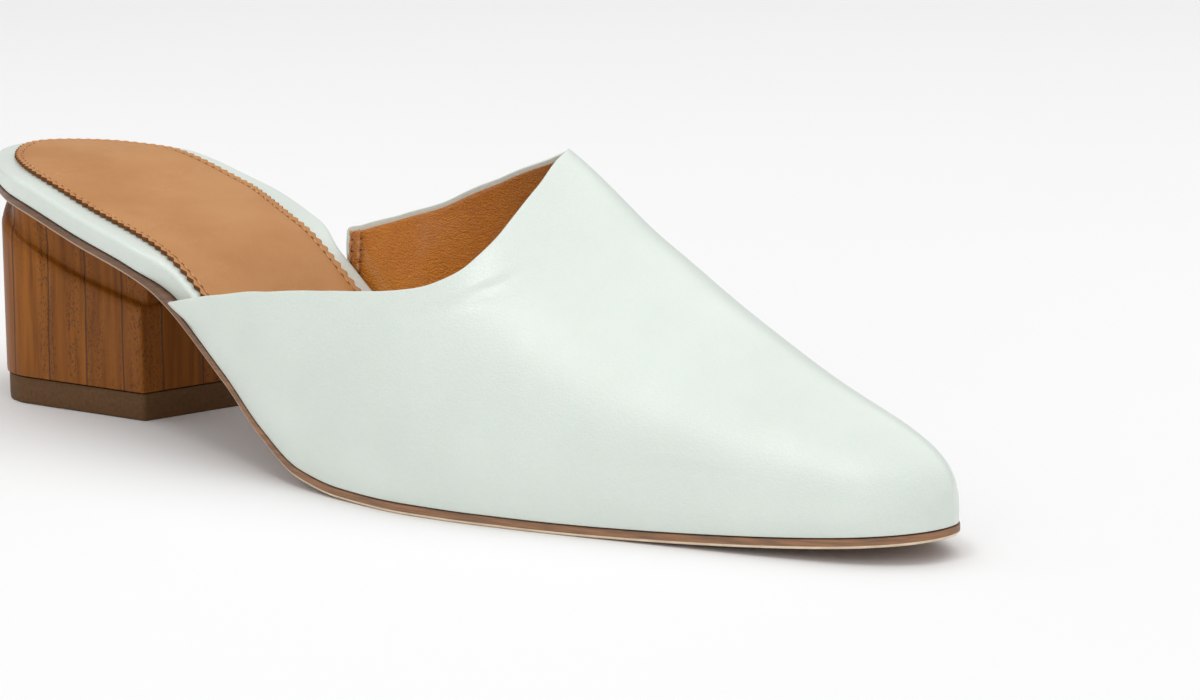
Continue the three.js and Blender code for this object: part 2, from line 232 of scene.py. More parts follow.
MuleSizes = settings("MuleSizes", "Sizes of the last, the sole and the leather.", (length, {
    "shoe_length": ("From the heel's back to the toe", 256),
    "ball_width": ("Width that the forefoot follows", 72),
    "seat_width": ("Width that the heel seat follows", 55),
    "toe_swing": ("How far the toe lies to the inner side", 10),
    "heel_height": ("Underside of the seat above the floor", 45.5),
    "toe_spring": ("Rise of the sole at the toe", 4.2),
    "instep_height": ("Ridge of the vamp above the sole", 73),
    "sole_thickness": ("Thickness of the outsole", 1.9),
    "upper_margin": ("How far the vamp stands inside the sole's edge", 0.3),
    "wall": ("Leather and lining together", 1.8),
    "topline_wall": ("Leather and lining together, skived at the topline", 1.1),
    "toe_wall": ("Leather, lining and stiffener together at the toe", 3),
    "leather": ("Outer leather with its folded edge", 1.35),
    "tail_curl": ("How far the vamp's outer tail stands off the footbed", 1.7),
    "lining_drop": ("How far the lining stays under the topline", 0.9),
    "footbed_thickness": ("Wrapped board under the sock", 4.9),
    "footbed_radius": ("Rounding of the wrapped edge", 1.1),
    "footbed_flare": ("How far the wrapped edge leans out", 1),
    "footbed_toe_inset": ("How far the footbed draws in at the toe", 1.6),
    "clearance": ("Space between neighbouring pieces", 0.3),
    "sock_margin": ("From the sole's edge to the sock's edge", 4.4),
    "sock_thickness": ("Thickness of the sock leather", 0.8),
    "sock_waist": ("How much further the sock keeps from the inner edge at the waist", 2.4),
    "sock_crown": ("Padding under the middle of the sock", 0.25),
    "pink_pitch": ("Length of one tooth of the sock's edge", 2.2),
    "pink_depth": ("Depth of the teeth of the sock's edge", 0.8),
    "heel_length": ("From the back of the block to its breast", 64),
    "heel_width": ("Width that the block follows", 50.8),
    "heel_back_margin": ("Block set in from the back of the sole", 0.8),
    "wedge_back": ("Height of the seat wedge at the back", 3),
    "wedge_breast": ("Height of the seat wedge at the breast", 11.5),
    "wedge_inset": ("How far the wedge stands inside the block", 2.4),
    "lift_thickness": ("Thickness of the heel tip", 6),
    "lift_margin": ("How far the heel tip stands inside the block", 0.5),
    "stitch_length": ("Length of one stitch", 1.9),
    "stitch_pitch": ("From one stitch to the next", 2.5),
    "stitch_radius": ("Half the thickness of the thread", 0.36),
}), (angle, {
    "breast_turn": ("Turn of the block's front face", 9),
}))

MuleFinish = settings("MuleFinish", "Colours of the leathers, the wood and the rubber.", (colour, {
    "mint": ("Outer leather in the light", (223, 232, 224)),
    "mint_shade": ("Outer leather where it is a little darker", (218, 227, 219)),
    "mint_edge": ("Turned edge of the leather", (232, 230, 216)),
    "tan": ("Sock leather", (194, 137, 80)),
    "tan_shade": ("Sock leather where it is darker", (180, 121, 64)),
    "lining": ("Lining leather", (236, 150, 40)),
    "lining_shade": ("Lining leather where it is darker", (212, 124, 20)),
    # Painted shade on the lining under the ridge of the vamp
    "lining_deep": ("Lining leather under the ridge", (124, 60, 4)),
    # Also the painted shade in the needle holes of the lining stitches
    "cut": ("Raw cut edge of the tan leather", (104, 58, 24)),
    "thread": ("Stitches", (226, 166, 110)),
    "wood": ("Light wood of the heel", (156, 92, 20)),
    "wood_dark": ("Dark grain of the heel", (106, 56, 8)),
    "sole": ("Burnished edge of the outsole", (160, 112, 78)),
    # Painted bounce light from the floor, along the bevel at the foot of the sole's edge
    "sole_line": ("Pale line at the foot of the sole's edge", (240, 222, 194)),
    "rubber": ("Heel tip", (104, 68, 30)),
}))

MuleStage = settings("MuleStage", "Where the camera stands.", (angle, {
    "azimuth": ("Turn of the camera round the shoe", 42.226),
    "elevation": ("Tilt of the camera above the floor", 12.181),
}), (length, {
    "distance": ("From the camera to the aim", 697.7),
    "aim_forward": ("Aim from the heel's back", 130),
    "aim_height": ("Aim above the floor", 25),
    "slide_right": ("Camera moved to its right", 35.22),
    "slide_down": ("Camera moved down", 1.97),
}), (number, {
    "lens": ("Focal length in millimetres", 102),
}))


def turn_of(station):
    """Stations along a length become turns, which run evenly round an outline with round ends."""
    return np.arccos(1 - 2 * np.asarray(station, float)) / math.pi


def station_of(turn):
    return (1 - np.cos(np.asarray(turn, float) * math.pi)) / 2


def end_slope(near, far, first, second):
    slope = ((2 * near + far) * first - near * second) / (near + far)
    if slope * first <= 0:
        return 0.0
    if first * second < 0 and abs(slope) > 3 * abs(first):
        return 3 * first
    return slope


def point_slopes(run, grade):
    """Slopes of a curve that never overshoots the points it runs through."""
    slopes = [end_slope(run[0], run[1], grade[0], grade[1])]
    for i in range(1, len(run)):
        before = 2 * run[i] + run[i - 1]
        after = run[i] + 2 * run[i - 1]
        level = grade[i - 1] * grade[i] <= 0
        slopes.append(0.0 if level else (before + after) / (before / grade[i - 1] + after / grade[i]))
    slopes.append(end_slope(run[-1], run[-2], grade[-1], grade[-2]))
    return np.array(slopes)


def curve_through(places, values):
    """Smooth curve through a column of a table."""
    places = np.asarray(places, float)
    values = np.asarray(values, float)
    run = np.diff(places)
    slopes = point_slopes(run, np.diff(values) / run)

    def curve(place):
        place = np.asarray(place, float)
        i = np.clip(np.searchsorted(places, place) - 1, 0, len(run) - 1)
        t = np.clip((place - places[i]) / run[i], 0, 1)
        rise = t * t * (3 - 2 * t)
        bend = slopes[i] * t * (1 - t) ** 2 - slopes[i + 1] * t * t * (1 - t)
        return values[i] + (values[i + 1] - values[i]) * rise + run[i] * bend

    return curve


def rounded_curve(rows, value):
    return curve_through(turn_of([row.at for row in rows]), [value(row) for row in rows])


def smooth_step(value, low, high):
    t = np.clip((np.asarray(value, float) - low) / (high - low), 0, 1)
    return t * t * (3 - 2 * t)


def mix(a, b, share):
    return a + (b - a) * share


class Form:
    """The shoe's surfaces, from the sizes and the tables, in metres from the heel's back."""

    def __init__(self, sizes):
        self.sizes = sizes
        widths = {"seat": sizes.seat_width, "ball": sizes.ball_width}
        self.outer_breadth = rounded_curve(OUTLINE_ROWS, lambda row: widths[row.width] * row.outer)
        self.inner_breadth = rounded_curve(OUTLINE_ROWS, lambda row: widths[row.width] * row.inner)
        self.arch_rise = curve_through([row.at for row in ARCH_ROWS], [row.rise for row in ARCH_ROWS])
        self.ridge_rise = rounded_curve(SECTION_ROWS, lambda row: row.ridge * sizes.instep_height)
        self.ridge_lean = rounded_curve(SECTION_ROWS, lambda row: row.lean * sizes.ball_width)
        self.side_swell = rounded_curve(SECTION_ROWS, lambda row: row.swell)
        self.ledge_drop = curve_through([row.at for row in LEDGE_ROWS], [row.drop for row in LEDGE_ROWS])
        block = [row.breadth for row in BLOCK_ROWS]
        self.block_breadth = curve_through(np.sqrt([row.at for row in BLOCK_ROWS]), block)
        along = [row.along for row in TOPLINE_ROWS]
        self.topline_turn = curve_through(along, turn_of([row.at for row in TOPLINE_ROWS]))
        self.topline_across = curve_through(along, [row.across for row in TOPLINE_ROWS])

    def middle(self, station):
        return self.sizes.toe_swing * station * station

    def sole_edge(self, turn, side):
        station = station_of(turn)
        breadth = np.where(side < 0, self.outer_breadth(turn), self.inner_breadth(turn))
        return np.stack([station * self.sizes.shoe_length, self.middle(station) + side * breadth], -1)

    def block_edge(self, turn, side):
        sizes = self.sizes
        breadth = sizes.heel_width * self.block_breadth(turn)
        station = turn * turn
        skew = station * side * breadth * math.tan(sizes.breast_turn)
        x = sizes.heel_back_margin + station * (sizes.heel_length - sizes.heel_back_margin) + skew
        return np.stack([x, side * breadth], -1)

    def underside(self, x):
        station = np.clip(np.asarray(x, float) / self.sizes.shoe_length, 0, 1)
        spring = np.maximum(0, station - TREAD_END) / (1 - TREAD_END)
        return self.sizes.heel_height * self.arch_rise(station) + self.sizes.toe_spring * spring ** 2

    def sole_top(self, x):
        return self.underside(x) + self.sizes.sole_thickness

    def ledge(self, x):
        sizes = self.sizes
        back = self.underside(0) - sizes.wedge_back
        breast = self.underside(sizes.heel_length) - sizes.wedge_breast
        return mix(back, breast, self.ledge_drop(x / sizes.heel_length))

    def inset_point(self, edge, turn, side, inset):
        """A point of an outline moved inwards, square to the outline."""
        step = 0.001
        turn = np.asarray(turn, float)
        side = np.broadcast_to(np.asarray(side, float), turn.shape)
        run = edge(np.minimum(turn + step, 1), side) - edge(np.maximum(turn - step, 0), side)
        run /= np.linalg.norm(run, axis=-1, keepdims=True) + 1e-12
        at_heel = (turn <= 0)[..., None]
        run = np.where(at_heel, np.stack([0 * side, side], -1), run)
        square = np.stack([run[..., 1], -run[..., 0]], -1)
        return edge(turn, side) + square * (side * inset)[..., None]

    def last_turn(self, edge, inset):
        """An outline drawn inwards ends where its two sides have come close together."""
        closeness = 1 * MM
        low, high = 0.5, 1.0

        def spread(turn):
            inner = self.inset_point(edge, np.array(turn), 1, inset)
            outer = self.inset_point(edge, np.array(turn), -1, inset)
            return inner[1] - outer[1]

        if inset <= 0 or spread(high) > closeness:
            return 1.0
        for _ in range(30):
            half = (low + high) / 2
            if spread(half) > closeness:
                low = half
            else:
                high = half
        return low

    def sock_edge(self, station, side):
        """The sock keeps further from the inner edge along the waist."""
        sizes = self.sizes
        if side < 0:
            return sizes.sock_margin + 0 * np.asarray(station, float)
        narrowed = smooth_step(station, 0.1, 0.36)
        widened = smooth_step(station, 0.5, 0.9)
        return sizes.sock_margin + sizes.sock_waist * narrowed * (1 - widened)

    def vamp_face(self, turn, across):
        """The vamp's outer face at a turn along the shoe and a place across it."""
        sizes = self.sizes
        side = np.where(across < 0, -1.0, 1.0)
        foot = self.inset_point(self.sole_edge, turn, side, sizes.upper_margin)
        base = self.sole_top(foot[..., 0]) + sizes.clearance
        height = self.ridge_rise(turn)
        swell = height * self.side_swell(turn)
        shoulder = np.where(side < 0, OUTER_SHOULDER, INNER_SHOULDER)
        crown = np.where(side < 0, OUTER_CROWN, INNER_CROWN)
        station = station_of(turn)
        ridge_x = station * sizes.shoe_length
        ridge_y = self.middle(station) + self.ridge_lean(turn)
        ridge_z = self.sole_top(ridge_x) + sizes.clearance + height
        start = np.stack([foot[..., 0], foot[..., 1], base], -1)
        low = np.stack([foot[..., 0], foot[..., 1] + side * swell, base + shoulder * height], -1)
        high = np.stack([ridge_x, mix(ridge_y, foot[..., 1], crown), ridge_z], -1)
        ridge = np.stack([ridge_x, ridge_y, ridge_z], -1)
        t = (1 - np.abs(across))[..., None]
        near = (1 - t) ** 3 * start + 3 * (1 - t) ** 2 * t * low
        return near + 3 * (1 - t) * t ** 2 * high + t ** 3 * ridge

    def vamp_normal(self, turn, across):
        step = 0.002
        along = self.vamp_face(np.minimum(turn + step, 1), across) - self.vamp_face(turn - step, across)
        above, below = np.clip(across + step, -1, 1), np.clip(across - step, -1, 1)
        rise = self.vamp_face(turn, above) - self.vamp_face(turn, below)
        normal = np.cross(along, rise)
        return normal / (np.linalg.norm(normal, axis=-1, keepdims=True) + 1e-15)

    def relief(self, turn, across):
        """Soft troughs pressed into the leather by wear."""
        sizes = self.sizes
        depth = np.zeros(np.shape(turn))
        for crease in CREASES:
            along = (station_of(turn) - crease.station) * sizes.shoe_length / MM
            over = (across - crease.across) * sizes.ball_width * 0.75 / MM
            turned = math.radians(crease.turn)
            lengthwise = (along * math.cos(turned) + over * math.sin(turned)) / crease.length
            crosswise = (over * math.cos(turned) - along * math.sin(turned)) / crease.width
            ridge = 0.45 * np.exp(-((crosswise - 1.6) ** 2))
            depth += crease.depth * np.exp(-lengthwise ** 2) * (np.exp(-crosswise ** 2) - ridge)
        return depth * MM


def shoe_origin():
    """Where the back of the heel's outline lies in the packed frame."""
    sole_low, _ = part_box("outsole")
    lift_low, lift_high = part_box("top_lift")
    return Vector((sole_low[0], (lift_low[1] + lift_high[1]) / 2, 0))


ORIGIN = shoe_origin()


def lay_grid(mesh, points, materials=None, girth=None):
    """Adds a grid and moves each of its corners to its point, row by row."""
    rows, columns = points.shape[0] - 1, points.shape[1] - 1
    made = bmesh.ops.create_grid(mesh, x_segments=columns, y_segments=rows, size=0.5)["verts"]
    low_x = min(vert.co.x for vert in made)
    low_y = min(vert.co.y for vert in made)
    span_x = max(vert.co.x for vert in made) - low_x
    span_y = max(vert.co.y for vert in made) - low_y
    column_of = {}
    layer = mesh.verts.layers.float.get("girth") if girth is not None else None
    for vert in made:
        i = round((vert.co.y - low_y) / span_y * rows)
        j = round((vert.co.x - low_x) / span_x * columns)
        column_of[vert] = j
        vert.co = Vector(points[i, j]) + ORIGIN
        if layer is not None:
            vert[layer] = girth[i, j]
    if materials:
        faces = {face for vert in made for face in vert.link_faces}
        for face in faces:
            face.material_index = materials(min(column_of[vert] for vert in face.verts))


def finish_mesh(mesh, merge=1e-6):
    """Merges shared corners and turns every face outwards."""
    bmesh.ops.remove_doubles(mesh, verts=mesh.verts, dist=merge)
    bmesh.ops.dissolve_degenerate(mesh, edges=mesh.edges, dist=merge / 10)
    bmesh.ops.recalc_face_normals(mesh, faces=mesh.faces)


def add_object(name, data):
    made = bpy.data.objects.new(name, data)
    bpy.context.scene.collection.objects.link(made)
    return made


def add_piece(name, mesh, materials, replaced=(), sharp=40):
    """Turns a bmesh into a named piece that rides on the shoe."""
    data = bpy.data.meshes.new(name)
    mesh.to_mesh(data)
    mesh.free()
    for material in materials:
        data.materials.append(material)
    data.polygons.foreach_set("use_smooth", [True] * len(data.polygons))
    data.set_sharp_from_angle(angle=math.radians(sharp))
    piece = add_object(name, data)
    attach(piece, "root")
    if replaced:
        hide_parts(*replaced)


def run_along(points):
    """Distance along a line of points, from its start to each."""
    return np.concatenate([[0], np.cumsum(np.linalg.norm(np.diff(points, axis=0), axis=1))])


def even_turns(edge, steps):
    """Shares of an outline that lie at even distances along it."""
    fine = np.linspace(0, 1, 4001)
    run = 0
    for side in (-1, 1):
        run = run + run_along(edge(fine, np.full(fine.shape, float(side))))
    return np.interp(np.linspace(0, run[-1], steps + 1), run, fine)


Level = namedtuple("Level", "inset height")


def plate_sides(form, edge, level, shares):
    """The two lines of one level, from the heel to the toe."""
    end = form.last_turn(edge, float(np.max(level.inset(np.array([1.0]), -1))))
    lines = []
    for side in (-1, 1):
        turns = shares * end
        inset = level.inset(station_of(turns), side)
        flat = form.inset_point(edge, turns, float(side), inset)
        lines.append(np.column_stack([flat, level.height(flat[:, 0])]))
    middle_line = (lines[0][-1] + lines[1][-1]) / 2
    if abs(lines[0][-1][1] - lines[1][-1][1]) < 1.5 * MM:
        lines[0][-1] = lines[1][-1] = middle_line
    return lines


def lay_plate(mesh, form, edge, levels, shares, across, crown=None, bands=None, girth=None):
    """Closed plate between its levels, from the bottom up, with a crowned top."""
    sides = [plate_sides(form, edge, level, shares) for level in levels]
    outer = [pair[0] for pair in sides]
    inner = [pair[1] for pair in sides]
    weights = np.linspace(0, 1, across + 1)[1:-1]
    between = [mix(outer[-1], inner[-1], weight) for weight in weights]
    for weight, line in zip(weights, between):
        line[:, 2] = levels[-1].height(line[:, 0])
        if crown:
            gap = np.linalg.norm(inner[-1] - outer[-1], axis=1)
            line[:, 2] += crown(np.minimum(weight, 1 - weight) * gap)
    top = np.stack(outer + between + inner[::-1], axis=1)
    under = [mix(outer[0], inner[0], weight) for weight in np.linspace(0, 1, across + 1)]
    for line in under:
        line[:, 2] = levels[0].height(line[:, 0])
    last = top.shape[1] - 2
    top_girth = under_girth = None
    if girth:
        top_girth = np.stack([girth(top[:, j]) for j in range(top.shape[1])], axis=1)
        under_girth = np.stack([girth(line) for line in under], axis=1)
    lay_grid(mesh, top, (lambda j: bands(min(j, last - j))) if bands else None, top_girth)
    lay_grid(mesh, np.stack(under, axis=1), None, under_girth)
    return outer, inner


def rounded_edge(radius, thickness, steps):
    """Insets and heights of a plate's rounded upper edge."""
    return [
        (radius * (1 - math.cos(turn)), thickness - radius + radius * math.sin(turn))
        for turn in np.linspace(0, math.pi / 2, steps + 1)
    ]


def even(inset):
    """The same inset all round."""
    return lambda station, side: inset + 0 * station


def level_at(rise):
    """A flat height above the floor."""
    return lambda x: rise + 0 * x


def raised(surface, rise):
    """A height above one of the form's surfaces."""
    return lambda x: surface(x) + rise


def make_outsole(form, finish):
    """Thin leather sole with a pale bevelled line at the foot of its edge."""
    thickness = form.sizes.sole_thickness
    steps = [
        (0.75 * MM, 0.0),
        (0.28 * MM, 0.08 * MM),
        (0.05 * MM, 0.36 * MM),
        (0.0, 0.6 * MM),
        (0.0, thickness - 0.35 * MM),
        (0.06 * MM, thickness - 0.06 * MM),
        (0.2 * MM, thickness),
    ]
    levels = [Level(even(inset), raised(form.underside, rise)) for inset, rise in steps]
    mesh = bmesh.new()
    shares = even_turns(form.sole_edge, 420)
    lay_plate(mesh, form, form.sole_edge, levels, shares, 20, bands=lambda j: 1 if 0 < j < 3 else 0)
    finish_mesh(mesh)
    materials = [sole_material(finish), bevel_light_material(finish)]
    add_piece("outsole_leather", mesh, materials, ("outsole",), 50)


def footbed_inset(form, lean, inset):
    """Behind the vamp the edge leans outwards, and inside it the footbed clears the wall."""
    sizes = form.sizes
    tails = {-1: TOPLINE_ROWS[0].at, 1: TOPLINE_ROWS[-1].at}
    tail_run = 0.05

    def at(station, side):
        within = smooth_step(station, tails[side] - tail_run, tails[side])
        drawn_in = sizes.upper_margin + sizes.wall + sizes.clearance
        drawn_in = drawn_in + sizes.footbed_toe_inset * smooth_step(station, 0.85, 1)
        return inset + mix(sizes.upper_margin - sizes.footbed_flare * lean, drawn_in, within)

    return at


def make_footbed(form, finish):
    """Insole board wrapped in mint leather, with a soft rounded edge that leans out."""
    sizes = form.sizes
    radius = sizes.footbed_radius
    base = sizes.sole_thickness + sizes.clearance
    straight = sizes.footbed_thickness - radius
    steps = [(0.15 * MM, 0.0), (0.04 * MM, 0.06 * MM), (0.0, 0.3 * MM), (0.0, straight / 2)]
    steps += rounded_edge(radius, sizes.footbed_thickness, 10)
    steps += [(radius + 1 * MM, sizes.footbed_thickness)]
    levels = [
        Level(footbed_inset(form, min(1, rise / straight), inset), raised(form.underside, base + rise))
        for inset, rise in steps
    ]
    mesh = bmesh.new()
    lay_plate(mesh, form, form.sole_edge, levels, even_turns(form.sole_edge, 420), 24)
    finish_mesh(mesh)
    add_piece("footbed_wrap", mesh, [mint_material(finish)], ("footbed",), 60)


def tooth_wave(run, pitch):
    """Rises and falls evenly once in each pitch."""
    share = np.mod(run / pitch, 1)
    return np.abs(2 * share - 1)


def outline_run(form, shares, inset):
    """Distance along the outer and the inner edge at each share of the outline."""
    return {side: run_along(form.inset_point(form.sole_edge, shares, side, inset)) for side in (-1, 1)}


def make_sock(form, finish):
    """Tan sock with a pinked edge, padded in the middle and stitched round."""
    sizes = form.sizes
    base = sizes.sole_thickness + sizes.footbed_thickness + 2 * sizes.clearance
    thickness = sizes.sock_thickness
    shares = even_turns(form.sole_edge, 1240)
    runs = outline_run(form, shares, sizes.sock_margin)
    stations = station_of(shares)

    def pinked(inset, amount):
        def at(station, side):
            run = np.interp(station, stations, runs[side])
            teeth = amount * sizes.pink_depth * tooth_wave(run, sizes.pink_pitch)
            return form.sock_edge(station, side) - 0.4 * MM + inset + teeth
        return at

    steps = [
        (0.0, 1.0, 0.0),
        (0.0, 1.0, 0.7 * thickness),
        (0.06 * MM, 1.0, 0.95 * thickness),
        (0.22 * MM, 1.0, 1.0 * thickness),
        (0.7 * MM, 0.8, 1.0 * thickness),
        (1.2 * MM, 0.3, 0.95 * thickness),
        (1.55 * MM, 0.0, 0.68 * thickness),
        (1.95 * MM, 0.0, 0.68 * thickness),
        (2.6 * MM, 0.0, 1.0 * thickness),
        (3.8 * MM, 0.0, 1.12 * thickness),
    ]
    levels = [
        Level(pinked(inset, amount), raised(form.underside, base + rise)) for inset, amount, rise in steps
    ]

    def crown(reach):
        return sizes.sock_crown * (1 - np.exp(-reach / (6 * MM)))

    edge_bands, groove_band = 2, 6

    def cut_bands(band):
        return 1 if band < edge_bands or band == groove_band else 0

    mesh = bmesh.new()
    lay_plate(mesh, form, form.sole_edge, levels, shares, 22, crown=crown, bands=cut_bands)
    finish_mesh(mesh)
    materials = [tan_material(finish), cut_edge_and_hole_shade_material(finish)]
    add_piece("sock_leather", mesh, materials, ("sock",), 45)


def make_sock_stitches(form, finish):
    """Thread in the groove just inside the sock's pinked edge."""
    sizes = form.sizes
    base = sizes.sole_thickness + sizes.footbed_thickness + 2 * sizes.clearance
    mesh = bmesh.new()
    shares = np.linspace(0, 0.72, 3000)
    rise = base + 0.7 * sizes.sock_thickness
    for side in (-1, 1):
        inset = form.sock_edge(station_of(shares), side) + 1.35 * MM
        flat = form.inset_point(form.sole_edge, shares, float(side), inset)
        line = np.column_stack([flat, form.underside(flat[:, 0]) + rise])
        up = np.tile([0.0, 0.0, 1.0], (len(line), 1))
        sew(mesh, line, up, sizes, 0.18 * MM, holes=False)
    add_piece("sock_stitches", mesh, [thread_material(finish)])


def add_bead(mesh, place, reach, material=0):
    """Adds a rounded bead, drawn out along its three directions."""
    made = bmesh.ops.create_uvsphere(
        mesh, u_segments=8, v_segments=8, radius=1, matrix=place @ Matrix.Diagonal((*reach, 1))
    )["verts"]
    for face in {face for vert in made for face in vert.link_faces}:
        face.material_index = material


def sew(mesh, line, normals, sizes, radius, slant=0.0, holes=True):
    """Lays stitches end to end along a line on a surface, with a needle hole after each."""
    run = run_along(line)

    def along_line(rows, start):
        return Vector([np.interp(start, run, rows[:, axis]) for axis in range(3)])

    for k in range(int(run[-1] / sizes.stitch_pitch)):
        start = (k + 0.5) * sizes.stitch_pitch
        at = along_line(line, start)
        up = along_line(normals, start).normalized()
        along = (along_line(line, start + 0.3 * MM) - at).normalized()
        over = up.cross(along).normalized()
        along = (along * math.cos(slant) + over * math.sin(slant)).normalized()
        over = up.cross(along).normalized()
        turn = Matrix((along, over, up)).transposed().to_4x4()
        place = Matrix.Translation(at + ORIGIN)
        add_bead(mesh, place @ turn, (sizes.stitch_length / 2, radius, radius))
        if holes:
            # A dark bead of the cut colour, painted as the shade in the needle hole
            hole_shade = place.translation + along * sizes.stitch_pitch / 2 - up * radius * 0.4
            add_bead(mesh, Matrix.Translation(hole_shade) @ turn, (0.75 * radius, radius, 0.5 * radius), 1)


def vamp_skin(form, depth, end, rows, columns, start=0.0, creased=False):
    """Grid of points over the vamp at a depth under its outer face."""
    along = np.linspace(0, 1, columns + 1)
    share = np.linspace(0, 1, rows + 1) ** 1.15
    column, row = np.meshgrid(along, share)
    row = start + (1 - start) * row
    turn = mix(form.topline_turn(column), end, row)
    across = mix(form.topline_across(column), 2 * column - 1, smooth_step(row, 0, 1))
    points = form.vamp_face(turn, across)
    skived = mix(form.sizes.topline_wall / form.sizes.wall, 1, smooth_step(row, 0, 0.08))
    near_tail = smooth_step(column, 0, 0.012) * (1 - smooth_step(column, 0.022, 0.06))
    lifted = near_tail * (1 - smooth_step(row, 0, 0.04))
    sunk = depth * skived - form.sizes.tail_curl * lifted + (form.relief(turn, across) if creased else 0)
    points = points - form.vamp_normal(turn, across) * (np.zeros(turn.shape) + sunk)[..., None]
    for edge in (0, columns):
        points[:, edge, 2] = form.sole_top(points[:, edge, 0]) + form.sizes.clearance
    nose = points[-1]
    points[-1] = (nose + nose[::-1]) / 2
    return points


def lay_wall(mesh, outside, inside, bulge, steps):
    """Closed wall between two skins, with a rounded rim along the topline."""
    lay_grid(mesh, outside)
    lay_grid(mesh, inside)
    centre = (outside[0] + inside[0]) / 2
    reach = outside[0] - centre
    away = centre - (outside[2] + inside[2]) / 2
    away -= reach * (np.sum(away * reach, axis=1) / np.sum(reach * reach, axis=1))[:, None]
    away /= np.linalg.norm(away, axis=1, keepdims=True)
    rim = [
        centre + reach * math.cos(turn) + away * bulge * math.sin(turn)
        for turn in np.linspace(0, math.pi, steps + 1)
    ]
    rim[0], rim[-1] = outside[0], inside[0]
    lay_grid(mesh, np.stack(rim))
    for edge in (0, -1):
        lay_grid(mesh, np.stack([outside[:, edge], inside[:, edge]], axis=1))


def make_upper(form, finish):
    """Mint leather vamp with a turned edge along its topline."""
    sizes = form.sizes
    rows, columns = 130, 180
    outer_end = form.last_turn(form.sole_edge, sizes.upper_margin)
    inner_end = form.last_turn(form.sole_edge, sizes.upper_margin + sizes.toe_wall)
    outside = vamp_skin(form, 0, outer_end, rows, columns, creased=True)
    inside = vamp_skin(form, sizes.leather, inner_end, rows, columns)
    mesh = bmesh.new()
    lay_wall(mesh, outside, inside, 0.25 * MM, 8)
    finish_mesh(mesh)
    add_piece("vamp_leather", mesh, [mint_material(finish)], ("upper",), 60)


def make_lining(form, finish):
    """Tan lining inside the vamp, a little under the topline."""
    sizes = form.sizes
    rows, columns = 100, 150
    inner_end = form.last_turn(form.sole_edge, sizes.upper_margin + sizes.toe_wall)
    vamp_share = 0.62
    start = sizes.lining_drop / (vamp_share * sizes.shoe_length)
    gap = 0.02 * MM
    outside = vamp_skin(form, sizes.leather + gap, inner_end - 0.002, rows, columns, start)
    inside = vamp_skin(form, sizes.wall, inner_end - 0.004, rows, columns, start)
    mesh = bmesh.new()
    lay_wall(mesh, outside, inside, 0.15 * MM, 4)
    finish_mesh(mesh)
    add_piece("vamp_lining", mesh, [lining_material(finish)], (), 60)


def make_lining_stitches(form, finish):
    """Two rows of stitches inside the inner rear edge of the vamp."""
    sizes = form.sizes
    mesh = bmesh.new()
    tail = TOPLINE_ROWS[-2]
    rim = np.linspace(tail.along, 0.75, 100)
    for setback in (2.4 * MM, 5.2 * MM):
        tail_turn = float(turn_of(tail.at + setback / sizes.shoe_length))
        top = np.interp(tail_turn, form.topline_turn(rim), form.topline_across(rim))
        across = np.linspace(top + 0.004, 0.995, 60)
        turn = np.full(across.shape, tail_turn)
        normal = form.vamp_normal(turn, across)
        line = form.vamp_face(turn, across) - normal * sizes.wall
        sew(mesh, line, -normal, sizes, sizes.stitch_radius, math.radians(14))
    add_piece("lining_stitches", mesh, [thread_material(finish), cut_edge_and_hole_shade_material(finish)])


def block_girth(form):
    """Distance round the block in millimetres, which the wood's staves follow."""
    fine = np.linspace(0, 1, 600)
    tables = []
    for side in (-1, 1):
        flat = form.block_edge(fine, np.full(fine.shape, float(side)))
        tables.append((flat[:, 0], run_along(flat), np.abs(flat[:, 1])))

    def girth(line):
        sides = []
        for places, run, breadths in tables:
            rim = np.interp(line[:, 0], places, breadths)
            sides.append(np.interp(line[:, 0], places, run) + np.maximum(0, rim - np.abs(line[:, 1])))
        return np.where(line[:, 1] < 0, sides[0], sides[1]) / MM

    return girth


def lay_breast(mesh, outer, inner, across, girth):
    """Front face of the block, between the last points of its levels."""
    rows = []
    for low, high in zip(outer, inner):
        rows.append([mix(low[-1], high[-1], weight) for weight in np.linspace(0, 1, across + 1)])
    points = np.array(rows)
    values = np.stack([girth(row) for row in points])
    lay_grid(mesh, points, None, values)


def round_corners(mesh, radius):
    """Rounds the upright corners at the breast."""
    corners = [
        edge for edge in mesh.edges
        if len(edge.link_faces) == 2 and edge.calc_face_angle() > math.radians(50)
        and abs(edge.verts[0].co.z - edge.verts[1].co.z) > 0.5 * edge.calc_length()
    ]
    bmesh.ops.bevel(
        mesh, geom=corners, offset=radius, offset_type="OFFSET", segments=3, profile=0.5,
        affect="EDGES", material=-1, clamp_overlap=True,
    )


def block_plate(form, levels, corner_radius):
    """Plate with the block's outline and a flat front face."""
    mesh = bmesh.new()
    mesh.verts.layers.float.new("girth")
    girth = block_girth(form)
    shares = np.linspace(0, 1, 161)
    outer, inner = lay_plate(mesh, form, form.block_edge, levels, shares, 24, girth=girth)
    lay_breast(mesh, outer, inner, 24, girth)
    finish_mesh(mesh)
    round_corners(mesh, corner_radius)
    return mesh


